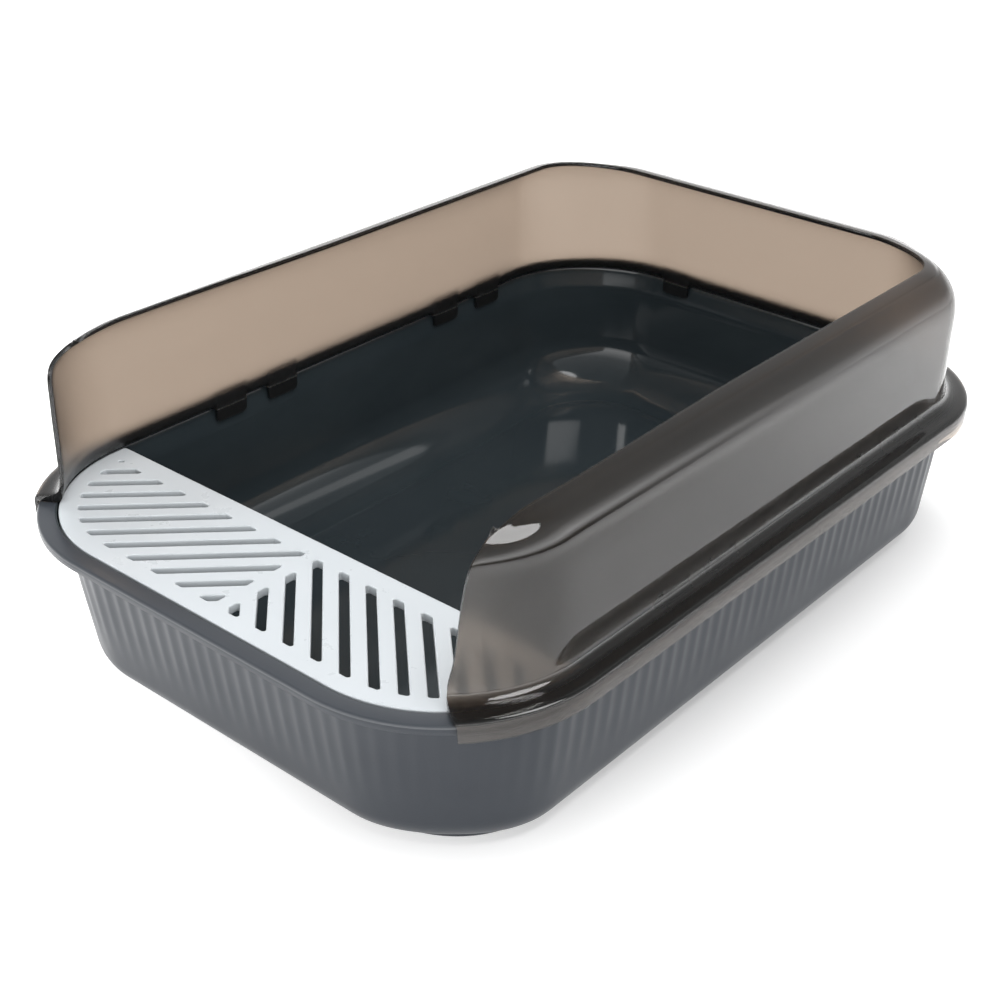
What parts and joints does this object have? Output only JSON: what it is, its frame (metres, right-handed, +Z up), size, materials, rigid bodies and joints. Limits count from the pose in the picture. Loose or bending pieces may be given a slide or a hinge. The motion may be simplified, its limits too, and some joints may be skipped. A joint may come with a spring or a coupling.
{
  "type": "semi-enclosed litter box",
  "caption": "Semi-enclosed litter box: open tray, lift-off U-shaped surround left open at the front, and a slotted step grate across the entrance.",
  "frame": {"origin": "middle of the footprint, on the surface the box stands on", "axes": "+Z up; the open front and the step grate at -Y, the closed rear wall at +Y; X across the width"},
  "size_m": [0.3768, 0.5645, 0.192],
  "materials": {
    "tray_plastic": "dark grey moulded polypropylene, satin outside, glossy inside",
    "surround_plastic": "smoke-tinted translucent moulded plastic, glossy",
    "grate_plastic": "pale grey moulded polypropylene, satin"
  },
  "bodies": {
    "tray": {"tray": "tray_plastic"},
    "surround": {"surround": "surround_plastic"},
    "grate": {"step_grate": "grate_plastic"}
  },
  "joints": [
    {"name": "surround_lift", "type": "slide", "parent": "tray", "child": "surround", "axis": [0, 0, 1], "range_m": [0, 0.12]},
    {"name": "grate_lift", "type": "slide", "parent": "tray", "child": "grate", "axis": [0, 0, 1], "range_m": [0, 0.06]}
  ],
  "couplings": [
    {"joint": "grate_lift", "follows": "surround_lift", "ratio": 0.5}
  ]
}
